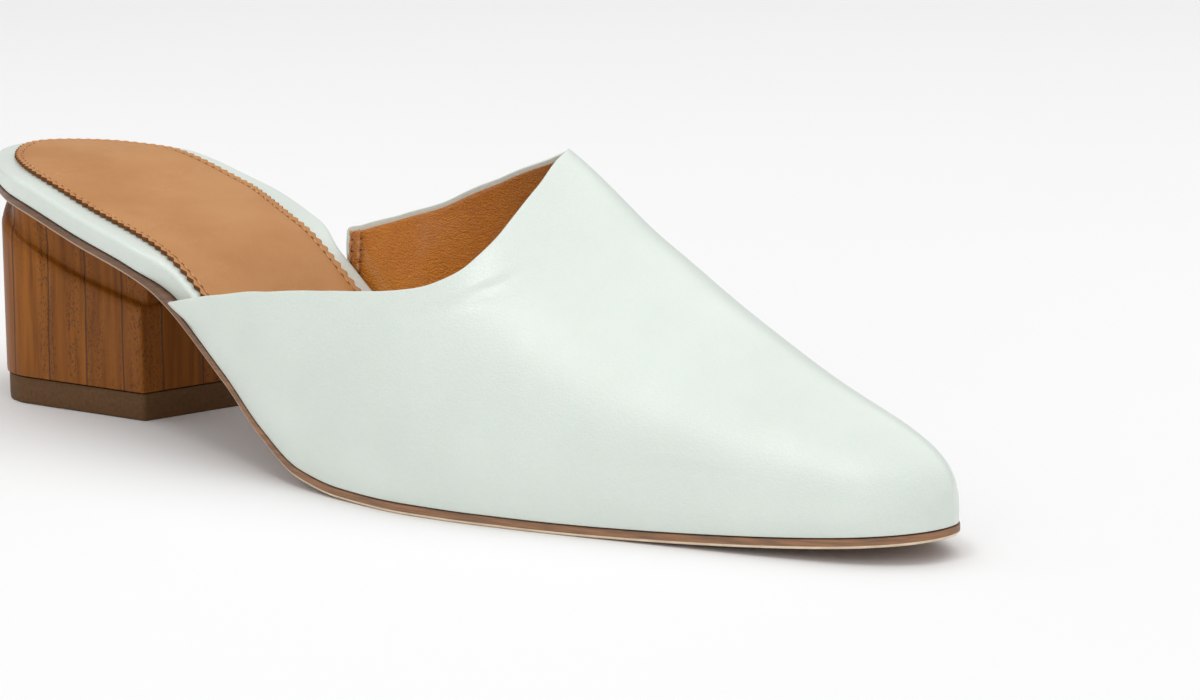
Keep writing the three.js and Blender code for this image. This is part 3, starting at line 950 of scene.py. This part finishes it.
def make_heel_block(form, finish):
    """Stave-built wooden heel with a set-back wedge under the seat."""
    sizes = form.sizes
    lift_top = sizes.lift_thickness + sizes.clearance
    low = [(0.3 * MM, 0.0), (0.06 * MM, 0.1 * MM), (0.0, 0.4 * MM)]
    cove = [
        (0.0, -2.2 * MM),
        (0.04 * MM, -1.5 * MM),
        (0.22 * MM, -0.85 * MM),
        (0.6 * MM, -0.3 * MM),
        (1.1 * MM, -0.05 * MM),
        (1.7 * MM, 0.05 * MM),
        (2.1 * MM, 0.35 * MM),
        (2.33 * MM, 0.9 * MM),
        (sizes.wedge_inset, 1.7 * MM),
    ]
    levels = [Level(even(inset), level_at(lift_top + rise)) for inset, rise in low]
    foot = lift_top + low[-1][1]
    for part in np.linspace(0.15, 0.85, 6):
        levels.append(Level(even(0), lambda x, part=part: mix(foot, form.ledge(x) + cove[0][1], part)))
    levels += [Level(even(inset), raised(form.ledge, rise)) for inset, rise in cove]
    levels.append(Level(even(sizes.wedge_inset), raised(form.underside, -sizes.clearance)))
    mesh = block_plate(form, levels, 0.45 * MM)
    add_piece("heel_wood", mesh, [wood_material(finish)], ("heel_block",), 40)


def make_top_lift(form, finish):
    """Rubber heel tip with a small bevel at the floor."""
    sizes = form.sizes
    thickness = sizes.lift_thickness
    margin = sizes.lift_margin
    steps = [
        (margin + 0.6 * MM, 0.0),
        (margin + 0.25 * MM, 0.12 * MM),
        (margin + 0.05 * MM, 0.4 * MM),
        (margin, 0.8 * MM),
        (margin, thickness / 2),
        (margin, thickness - 0.3 * MM),
        (margin + 0.1 * MM, thickness - 0.08 * MM),
        (margin + 0.3 * MM, thickness),
    ]
    levels = [Level(even(inset), level_at(rise)) for inset, rise in steps]
    mesh = block_plate(form, levels, 1.1 * MM)
    add_piece("heel_tip", mesh, [rubber_material(finish)], ("top_lift",), 40)


def add_node(tree, kind, inputs=(), **options):
    """Adds a node, sets its options, and fills or links its inputs by name or number."""
    node = tree.nodes.new(kind)
    for option, value in options.items():
        setattr(node, option, value)
    for key, value in dict(inputs).items():
        if isinstance(value, bpy.types.NodeSocket):
            tree.links.new(value, node.inputs[key])
        else:
            node.inputs[key].default_value = value
    return node


def sum_node(tree, operation, a, b=0.0):
    return add_node(tree, "ShaderNodeMath", {0: a, 1: b}, operation=operation).outputs[0]


def times(tree, a, b):
    return sum_node(tree, "MULTIPLY", a, b)


def plus(tree, a, b):
    return sum_node(tree, "ADD", a, b)


def minus(tree, a, b):
    return sum_node(tree, "SUBTRACT", a, b)


def ramp(tree, value, from_low, from_high, to_low=0.0, to_high=1.0):
    """Takes a value smoothly from one range to another."""
    inputs = {0: value, 1: from_low, 2: from_high, 3: to_low, 4: to_high}
    return add_node(tree, "ShaderNodeMapRange", inputs, interpolation_type="SMOOTHSTEP").outputs[0]


def opaque(value):
    """A colour with full opacity, and a socket as it is."""
    return value if isinstance(value, bpy.types.NodeSocket) else (*value, 1.0)


def blend(tree, share, a, b):
    """Mixes two colours."""
    inputs = {0: share, 6: opaque(a), 7: opaque(b)}
    return add_node(tree, "ShaderNodeMix", inputs, data_type="RGBA").outputs[2]


def noise(tree, vector, scale, detail=3.0, roughness=0.5, distortion=0.0):
    return add_node(tree, "ShaderNodeTexNoise", {
        "Vector": vector, "Scale": scale, "Detail": detail, "Roughness": roughness, "Distortion": distortion,
    }).outputs["Fac"]


def stretch(tree, vector, scale, rotation=(0.0, 0.0, 0.0)):
    return add_node(tree, "ShaderNodeMapping", {
        "Vector": vector, "Scale": scale, "Rotation": rotation,
    }).outputs[0]


def join_axes(tree, x, y, z):
    return add_node(tree, "ShaderNodeCombineXYZ", {0: x, 1: y, 2: z}).outputs[0]


def axis_of(tree, vector, axis):
    return add_node(tree, "ShaderNodeSeparateXYZ", {0: vector}).outputs[axis]


def node_group(name, outputs, **inputs):
    """Builds the named group once, and places it in a tree at a vector with its inputs filled."""
    def wrap(fill):
        def build():
            group = bpy.data.node_groups.new(name, "ShaderNodeTree")
            group.interface.new_socket("Vector", in_out="INPUT", socket_type="NodeSocketVector")
            for label, default in inputs.items():
                socket = group.interface.new_socket(label, in_out="INPUT", socket_type="NodeSocketFloat")
                socket.default_value = default
            for label in outputs:
                group.interface.new_socket(label, in_out="OUTPUT", socket_type="NodeSocketFloat")
            entry = group.nodes.new("NodeGroupInput").outputs
            leave = group.nodes.new("NodeGroupOutput").inputs
            for label, socket in zip(outputs, fill(group, entry)):
                group.links.new(socket, leave[label])
            return group

        def place(tree, vector, **values):
            group = bpy.data.node_groups.get(name) or build()
            return add_node(tree, "ShaderNodeGroup", {"Vector": vector, **values}, node_tree=group).outputs

        return place
    return wrap


@node_group("hide_grain", ("Height", "Mottle"), Scale=900.0, Wrinkle=0.3)
def hide_grain(tree, entry):
    """Pebbled cells and fine pores of smooth leather."""
    place = entry["Vector"]
    warp = noise(tree, place, 260.0, 2.0)
    reach = (0.0016, 0.0016, 0.0016)
    bent = add_node(
        tree, "ShaderNodeVectorMath", {0: warp, 1: reach, 2: place}, operation="MULTIPLY_ADD"
    ).outputs[0]
    cells = add_node(
        tree, "ShaderNodeTexVoronoi", {"Vector": bent, "Scale": entry["Scale"]}, feature="DISTANCE_TO_EDGE"
    ).outputs["Distance"]
    pebble = ramp(tree, cells, 0.0, 0.22)
    fine = noise(tree, place, 2600.0, 2.0)
    folds = times(tree, noise(tree, place, 120.0, 3.0, 0.6, 0.8), entry["Wrinkle"])
    height = plus(tree, times(tree, pebble, 0.55), times(tree, fine, 0.3))
    return plus(tree, height, folds), noise(tree, place, 38.0, 4.0, 0.55)


@node_group("wood_figure", ("Grain", "Joint", "Pores", "Stave"), Girth=0.0, Width=10.2)
def wood_figure(tree, entry):
    """Staves with dark joints, upright grain and short pores."""
    height = axis_of(tree, entry["Vector"], "Z")
    sway = times(tree, minus(tree, noise(tree, entry["Vector"], 45.0, 2.0), 0.5), 1.6)
    line = plus(tree, entry["Girth"], sway)
    girth = sum_node(tree, "DIVIDE", plus(tree, line, 3.4), entry["Width"])
    stave = sum_node(tree, "FLOOR", girth)
    off = sum_node(tree, "ABSOLUTE", minus(tree, sum_node(tree, "FRACT", girth), 0.5))
    joint = ramp(tree, off, 0.462, 0.496)
    flat = join_axes(tree, line, times(tree, height, 55.0), times(tree, stave, 7.3))
    grain = noise(tree, flat, 0.55, 5.0, 0.5, 0.4)
    speck = join_axes(tree, times(tree, line, 2.6), times(tree, height, 1100.0), stave)
    dots = add_node(tree, "ShaderNodeTexVoronoi", {"Vector": speck, "Scale": 1.0}, feature="F1")
    dot = ramp(tree, dots.outputs["Distance"], 0.42, 0.2)
    pores = times(tree, dot, ramp(tree, noise(tree, flat, 0.3, 2.0), 0.42, 0.56))
    tone = add_node(tree, "ShaderNodeTexWhiteNoise", {"W": stave}, noise_dimensions="1D").outputs["Value"]
    return grain, joint, pores, tone


@node_group("rub_marks", ("Marks",), Scale=60.0, Amount=1.0)
def rub_marks(tree, entry):
    """Faint scratches and dust that break up a plain finish."""
    drawn_out = stretch(tree, entry["Vector"], (1.0, 1.0, 9.0), (0.2, 0.5, 0.9))
    streak = ramp(tree, noise(tree, drawn_out, entry["Scale"], 6.0, 0.7), 0.5, 0.75)
    spots = ramp(tree, noise(tree, entry["Vector"], 700.0, 2.0), 0.42, 0.62)
    return (times(tree, times(tree, streak, spots), entry["Amount"]),)


# Marks and shades of the materials, as linear colours
RUBBED_TAN = (0.75, 0.5, 0.3)
PORE_BROWN = (0.035, 0.016, 0.006)
JOINT_BROWN = (0.05, 0.02, 0.008)
SOLE_FIBRE = (0.2, 0.11, 0.06)
SEAT_BROWN = (0.055, 0.032, 0.02)
RUBBER_SPECK = (0.075, 0.042, 0.016)
RUBBER_SCUFF = (0.22, 0.15, 0.09)

Skin = namedtuple("Skin", "colour roughness height strength distance")


def painted(name, **plain):
    """Builds the named material once; plain values go straight onto its shader's sockets."""
    def wrap(paint):
        def build(finish):
            made = bpy.data.materials.new(name)
            made.use_nodes = True
            tree = made.node_tree
            shader = tree.nodes["Principled BSDF"].inputs
            for label, value in plain.items():
                shader[label.replace("_", " ")].default_value = value
            skin = paint(tree, tree.nodes.new("ShaderNodeTexCoord").outputs["Object"], finish)
            tree.links.new(skin.colour, shader["Base Color"])
            tree.links.new(skin.roughness, shader["Roughness"])
            relief = add_node(tree, "ShaderNodeBump", {
                "Strength": skin.strength, "Distance": skin.distance, "Height": skin.height,
            })
            tree.links.new(relief.outputs[0], shader["Normal"])
            return made

        return lambda finish: bpy.data.materials.get(name) or build(finish)
    return wrap


@painted("mint_nappa", Coat_Weight=0.35, Coat_Roughness=0.24, Specular_IOR_Level=0.42,
         Subsurface_Weight=0.05, Subsurface_Scale=0.002)
def mint_material(tree, place, finish):
    """Smooth satin nappa with a very fine grain."""
    grain = hide_grain(tree, place, Scale=1150.0, Wrinkle=0.5)
    marks = rub_marks(tree, place, Scale=70.0, Amount=0.5)["Marks"]
    base = blend(tree, ramp(tree, grain["Mottle"], 0.3, 0.7), finish.mint, finish.mint_shade)
    base = blend(tree, times(tree, marks, 0.18), base, finish.mint_edge)
    rough = plus(tree, ramp(tree, grain["Mottle"], 0.25, 0.75, 0.3, 0.4), times(tree, marks, 0.1))
    return Skin(base, rough, grain["Height"], 0.24, 0.0002)


@painted("tan_sock", Specular_IOR_Level=0.4)
def tan_material(tree, place, finish):
    """Matte sock leather, darker towards patches where it is handled."""
    grain = hide_grain(tree, place, Scale=1400.0, Wrinkle=0.25)
    marks = rub_marks(tree, place, Scale=45.0, Amount=1.0)["Marks"]
    base = blend(tree, ramp(tree, grain["Mottle"], 0.3, 0.75), finish.tan, finish.tan_shade)
    base = blend(tree, times(tree, marks, 0.15), base, RUBBED_TAN)
    return Skin(base, ramp(tree, grain["Mottle"], 0.2, 0.8, 0.5, 0.62), grain["Height"], 0.22, 0.0002)


@painted("glazed_lining", Coat_Weight=0.8, Coat_Roughness=0.18, Specular_IOR_Level=0.5)
def lining_material(tree, place, finish):
    """Glazed lining leather with fine wrinkles that catch the light, deeper under the ridge."""
    grain = hide_grain(tree, place, Scale=1500.0, Wrinkle=0.6)
    wrinkles = stretch(tree, place, (1.0, 1.0, 2.6), (0.0, 0.5, 0.3))
    fine = noise(tree, wrinkles, 520.0, 3.0, 0.55, 1.6)
    base = blend(tree, ramp(tree, grain["Mottle"], 0.3, 0.7), finish.lining, finish.lining_shade)
    # Painted shade: the lining darkens towards the front, under the ridge of the vamp
    ridge_shade = ramp(tree, axis_of(tree, place, "X"), -0.02, 0.03, 0.0, 0.75)
    base = blend(tree, ridge_shade, base, finish.lining_deep)
    height = plus(tree, grain["Height"], times(tree, fine, 3.0))
    return Skin(base, ramp(tree, fine, 0.3, 0.7, 0.3, 0.44), height, 0.7, 0.0003)


@painted("cut_leather", Specular_IOR_Level=0.25)
def cut_edge_and_hole_shade_material(tree, place, finish):
    """Raw cut edge of the tan leather and the holes round its stitches."""
    fibre = noise(tree, place, 1800.0, 4.0, 0.6)
    base = blend(tree, ramp(tree, fibre, 0.3, 0.7), finish.cut, finish.tan_shade)
    base = blend(tree, 0.75, base, finish.cut)
    return Skin(base, ramp(tree, fibre, 0.2, 0.8, 0.7, 0.9), fibre, 0.3, 0.0001)


@painted("waxed_thread", Sheen_Weight=0.3, Specular_IOR_Level=0.35)
def thread_material(tree, place, finish):
    """Twisted thread."""
    twist = add_node(
        tree, "ShaderNodeTexWave", {"Vector": place, "Scale": 900.0, "Distortion": 1.5, "Detail": 1.0},
        wave_type="BANDS", bands_direction="DIAGONAL",
    ).outputs["Fac"]
    base = blend(tree, twist, finish.thread, finish.tan_shade)
    return Skin(base, ramp(tree, twist, 0.0, 1.0, 0.5, 0.7), twist, 0.3, 0.0001)


@painted("stained_staves", Coat_Weight=0.05, Coat_Roughness=0.3, Specular_IOR_Level=0.2)
def wood_material(tree, place, finish):
    """Stained staves with dark joints and pores."""
    girth = add_node(tree, "ShaderNodeAttribute", attribute_name="girth").outputs["Fac"]
    figure = wood_figure(tree, place, Girth=girth, Width=10.2)
    base = blend(tree, ramp(tree, figure["Grain"], 0.25, 0.85), finish.wood, finish.wood_dark)
    base = blend(tree, ramp(tree, figure["Stave"], 0.0, 1.0, 0.0, 0.3), base, finish.wood_dark)
    base = blend(tree, times(tree, figure["Pores"], 0.7), base, PORE_BROWN)
    base = blend(tree, times(tree, figure["Joint"], 0.75), base, JOINT_BROWN)
    hollow = plus(tree, figure["Pores"], times(tree, figure["Joint"], 1.5))
    height = minus(tree, times(tree, figure["Grain"], 0.4), hollow)
    return Skin(base, ramp(tree, figure["Grain"], 0.3, 0.7, 0.34, 0.5), height, 0.35, 0.0003)


@painted("burnished_sole", Coat_Weight=0.1, Coat_Roughness=0.3)
def sole_material(tree, place, finish):
    """Burnished sole leather, darker under the seat."""
    grain = hide_grain(tree, place, Scale=500.0, Wrinkle=0.6)
    rear = ramp(tree, axis_of(tree, place, "X"), -0.01, -0.05)
    fibre = noise(tree, stretch(tree, place, (1.0, 1.0, 14.0)), 160.0, 4.0)
    base = blend(tree, ramp(tree, fibre, 0.3, 0.7), finish.sole, SOLE_FIBRE)
    base = blend(tree, times(tree, rear, 0.55), base, SEAT_BROWN)
    return Skin(base, ramp(tree, fibre, 0.2, 0.8, 0.42, 0.6), grain["Height"], 0.2, 0.0002)


@painted("scraped_bevel", Specular_IOR_Level=0.4)
def bevel_light_material(tree, place, finish):
    """Pale scraped bevel at the foot of the sole's edge, browner under the seat."""
    wear = noise(tree, place, 240.0, 4.0, 0.6)
    # The bevel's pale colour is painted bounce light from the floor
    base = blend(tree, ramp(tree, wear, 0.3, 0.75, 0.0, 0.3), finish.sole_line, finish.sole)
    # The painted light fades under the seat, where the edge stands high above the floor
    rear = ramp(tree, axis_of(tree, place, "X"), 0.03, -0.04, 0.0, 0.7)
    base = blend(tree, rear, base, finish.sole)
    return Skin(base, ramp(tree, wear, 0.2, 0.8, 0.5, 0.7), wear, 0.2, 0.0002)


@painted("heel_rubber", Specular_IOR_Level=0.35)
def rubber_material(tree, place, finish):
    """Dull dark rubber with faint moulding grain and scuffs."""
    speck = noise(tree, place, 1500.0, 3.0)
    marks = rub_marks(tree, place, Scale=90.0, Amount=1.0)["Marks"]
    base = blend(tree, ramp(tree, speck, 0.2, 0.95), finish.rubber, RUBBER_SPECK)
    base = blend(tree, times(tree, marks, 0.25), base, RUBBER_SCUFF)
    return Skin(base, ramp(tree, speck, 0.2, 0.8, 0.55, 0.72), speck, 0.12, 0.0002)


def floor_material():
    """Plain pale floor."""
    made = bpy.data.materials.new("pale_floor")
    made.use_nodes = True
    tree = made.node_tree
    shader = tree.nodes["Principled BSDF"].inputs
    shader["Specular IOR Level"].default_value = 0.2
    shader["Roughness"].default_value = 0.9
    drift = noise(tree, tree.nodes.new("ShaderNodeTexCoord").outputs["Object"], 3.0, 2.0)
    tree.links.new(blend(tree, drift, (0.9, 0.9, 0.9), (0.93, 0.93, 0.93)), shader["Base Color"])
    return made


def make_floor():
    mesh = bmesh.new()
    bmesh.ops.create_grid(mesh, x_segments=8, y_segments=8, size=3.0)
    data = bpy.data.meshes.new("floor")
    mesh.to_mesh(data)
    mesh.free()
    data.materials.append(floor_material())
    add_object("floor", data)


def make_camera(stage):
    """The camera stands where the shoe was seen from."""
    turn, tilt = stage.azimuth, stage.elevation
    back = Vector((math.sin(turn) * math.cos(tilt), -math.cos(turn) * math.cos(tilt), math.sin(tilt)))
    right = Vector((math.cos(turn), math.sin(turn), 0))
    up = back.cross(right)
    data = bpy.data.cameras.new("camera")
    data.sensor_fit = "HORIZONTAL"
    data.sensor_width = 36
    data.lens = stage.lens
    data.clip_start = 0.01
    data.clip_end = 20
    camera = add_object("camera", data)
    aim = ORIGIN + Vector((stage.aim_forward, 0, stage.aim_height))
    camera.location = aim + back * stage.distance + right * stage.slide_right - up * stage.slide_down
    camera.rotation_euler = Matrix((right, up, back)).transposed().to_euler()
    bpy.context.scene.camera = camera


# Soft boxes: place and aim in metres from the middle of the shoe, size and power in watts
Lamp = namedtuple("Lamp", "name place aim size power tint")
LAMPS = [
    Lamp("overhead", (0.0, 0.5, 1.7), (0, 0.25, 0), 2.2, 17.5, (1, 1, 1)),
    Lamp("toe_glint", (0.0, -0.4, 1.2), (0.08, 0, 0), 0.2, 1.3, (1, 1, 1)),
    Lamp("front_fill", (0.3, -1.5, 0.7), (0, 0, 0.03), 1.2, 4, (1, 0.99, 0.97)),
    Lamp("toe_side", (1.3, 0.2, 0.8), (0.05, 0, 0.02), 0.9, 1.8, (1, 1, 1)),
    Lamp("heel_side", (-1.2, -0.6, 0.8), (-0.05, 0, 0.02), 0.9, 1.2, (1, 0.99, 0.98)),
]


def make_lights():
    for lamp in LAMPS:
        data = bpy.data.lights.new(lamp.name, "AREA")
        data.shape = "SQUARE"
        data.size = lamp.size
        data.energy = lamp.power
        data.color = lamp.tint
        light = add_object(lamp.name, data)
        light.location = lamp.place
        light.rotation_euler = (Vector(lamp.place) - Vector(lamp.aim)).to_track_quat("Z", "Y").to_euler()
    world = bpy.data.worlds.new("studio")
    world.use_nodes = True
    background = world.node_tree.nodes["Background"]
    background.inputs["Color"].default_value = (1, 1, 1, 1)
    background.inputs["Strength"].default_value = 0.52
    bpy.context.scene.world = world
    bpy.context.scene.view_settings.view_transform = "Standard"


class MULE_OT_stage(bpy.types.Operator):
    """Add the camera, the lights and the floor"""
    bl_idname = "mule.stage"
    bl_label = "Stage"

    def execute(self, context):
        make_camera(context.scene.mule_stage)
        make_lights()
        make_floor()
        return {"FINISHED"}


def piece_operator(name, text, *makers):
    """Operator that adds the pieces of its makers."""
    def execute(self, context):
        form = Form(context.scene.mule_sizes)
        for make in makers:
            make(form, context.scene.mule_finish)
        return {"FINISHED"}

    return type("MULE_OT_" + name, (bpy.types.Operator,), {
        "__doc__": text, "bl_idname": "mule." + name, "bl_label": name.capitalize(), "execute": execute,
    })


OPERATORS = (
    MULE_OT_stage,
    piece_operator("outsole", "Add the leather outsole", make_outsole),
    piece_operator("footbed", "Add the wrapped footbed", make_footbed),
    piece_operator("sock", "Add the pinked sock and its stitches", make_sock, make_sock_stitches),
    piece_operator(
        "upper", "Add the vamp, its lining and their stitches", make_upper, make_lining, make_lining_stitches
    ),
    piece_operator("heel", "Add the wooden heel and its rubber tip", make_heel_block, make_top_lift),
)


class MULE_PT_panel(bpy.types.Panel):
    """Lists the mule's pieces"""
    bl_idname = "MULE_PT_panel"
    bl_label = "Mule"
    bl_space_type = "VIEW_3D"
    bl_region_type = "UI"
    bl_category = "Mule"

    def draw(self, context):
        for operator in OPERATORS:
            self.layout.operator(operator.bl_idname)
        for group in (context.scene.mule_sizes, context.scene.mule_finish, context.scene.mule_stage):
            for label in group.__annotations__:
                self.layout.prop(group, label)


CLASSES = (MuleSizes, MuleFinish, MuleStage, *OPERATORS, MULE_PT_panel)


def register():
    for cls in CLASSES:
        bpy.utils.register_class(cls)
    bpy.types.Scene.mule_sizes = PointerProperty(type=MuleSizes)
    bpy.types.Scene.mule_finish = PointerProperty(type=MuleFinish)
    bpy.types.Scene.mule_stage = PointerProperty(type=MuleStage)


def unregister():
    del bpy.types.Scene.mule_stage
    del bpy.types.Scene.mule_finish
    del bpy.types.Scene.mule_sizes
    for cls in reversed(CLASSES):
        bpy.utils.unregister_class(cls)


def main():
    register()
    bpy.ops.mule.stage()
    bpy.ops.mule.outsole()
    bpy.ops.mule.footbed()
    bpy.ops.mule.sock()
    bpy.ops.mule.upper()
    bpy.ops.mule.heel()


if __name__ == "__main__":
    main()
